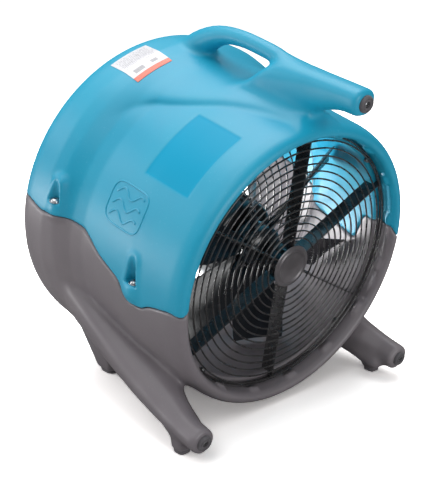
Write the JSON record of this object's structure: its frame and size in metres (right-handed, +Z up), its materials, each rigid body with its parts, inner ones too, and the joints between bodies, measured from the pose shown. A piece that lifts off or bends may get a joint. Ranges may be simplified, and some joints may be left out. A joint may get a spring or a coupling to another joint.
{
  "type": "axial air mover",
  "caption": "Portable axial drying fan: a two-tone moulded drum pitched upwards on splayed legs, with a loop handle, wire guards and a paddle impeller on a motor.",
  "frame": {"origin": "middle of the overall footprint box, on the floor plane the four foot pads stand on", "axes": "+Z up; -Y is the outlet side, where the front guard and the three bumpers are; +X is to the right of someone who looks at the outlet with -Y towards them; the fan axis lies in the YZ plane and its outlet end is 10.4 degrees below its inlet end"},
  "size_m": [0.5318, 0.5564, 0.5922],
  "materials": {
    "blue_shell": "rotomoulded polyethylene with a satin sheen and light scuffs",
    "grey_shell": "rotomoulded polyethylene with a satin sheen and light scuffs",
    "black_wire": "gloss black powder coat on welded steel wire",
    "disc_paint": "satin dark grey paint",
    "rubber": "matt moulded rubber",
    "zinc": "bright zinc plate",
    "impeller_plastic": "dark glass-filled plastic with a sheen",
    "motor_paint": "black paint on a die-cast and pressed motor body",
    "steel": "ground steel",
    "core": "lacquered laminations",
    "black_plastic": "fine-textured black plastic",
    "red_plastic": "glossy red plastic",
    "aluminium": "drawn aluminium can",
    "label": "blank laminated sheet",
    "cord_jacket": "black cord jacket"
  },
  "bodies": {
    "housing": {"breaker_body": "black_plastic", "bumper_handle": "rubber", "bumper_left": "rubber", "bumper_right": "rubber", "bumper_screw_handle": "zinc", "bumper_screw_left": "zinc", "bumper_screw_right": "zinc", "capacitor_saddle": "black_plastic", "control_panel": "black_plastic", "cord_gland": "cord_jacket", "cord_hook": "steel", "foot_pad_front_left": "rubber", "foot_pad_front_right": "rubber", "foot_pad_rear_left": "rubber", "foot_pad_rear_right": "rubber", "front_bearing": "steel", "front_guard": "black_wire", "front_guard_disc": "disc_paint", "front_guard_screw_1": "zinc", "front_guard_screw_2": "zinc", "front_guard_screw_3": "zinc", "front_guard_screw_4": "zinc", "housing_screw_left_front": "zinc", "housing_screw_left_rear": "zinc", "housing_screw_right_front": "zinc", "housing_screw_right_rear": "zinc", "lower_housing": "grey_shell", "motor_bolt_1": "zinc", "motor_bolt_2": "zinc", "motor_bolt_3": "zinc", "motor_front_cover": "motor_paint", "motor_rear_cover": "motor_paint", "motor_shell": "motor_paint", "power_cord": "cord_jacket", "power_plug": "cord_jacket", "rating_label": "label", "rear_bearing": "steel", "rear_guard": "black_wire", "rear_guard_screw_1": "zinc", "rear_guard_screw_2": "zinc", "rear_guard_screw_3": "zinc", "rear_guard_screw_4": "zinc", "run_capacitor": "aluminium", "stator_core": "core", "switch_body": "black_plastic", "upper_housing": "blue_shell"},
    "impeller": {"impeller_hub": "impeller_plastic", "hub_cap": "impeller_plastic", "impeller_nut": "zinc", "impeller_blade_1": "impeller_plastic", "impeller_blade_2": "impeller_plastic", "impeller_blade_3": "impeller_plastic", "impeller_blade_4": "impeller_plastic", "impeller_blade_5": "impeller_plastic", "impeller_blade_6": "impeller_plastic", "motor_shaft": "steel", "rotor_core": "core"},
    "rocker": {"rocker_switch": "red_plastic"},
    "breaker": {"breaker_button": "red_plastic"}
  },
  "joints": [
    {"name": "impeller_spin", "type": "hinge", "parent": "housing", "child": "impeller", "pos_m": [0, -0.13799, 0.243], "axis": [0, 0.9836, 0.1805], "continuous": true},
    {"name": "rocker_tilt", "type": "hinge", "parent": "housing", "child": "rocker", "pos_m": [0.23045, 0.10349, 0.4119], "axis": [0.4695, 0.1594, -0.8684], "range_deg": [-8, 8]},
    {"name": "breaker_press", "type": "slide", "parent": "housing", "child": "breaker", "axis": [0.8829, -0.0847, 0.4618], "range_m": [-0.002, 0.003]}
  ]
}
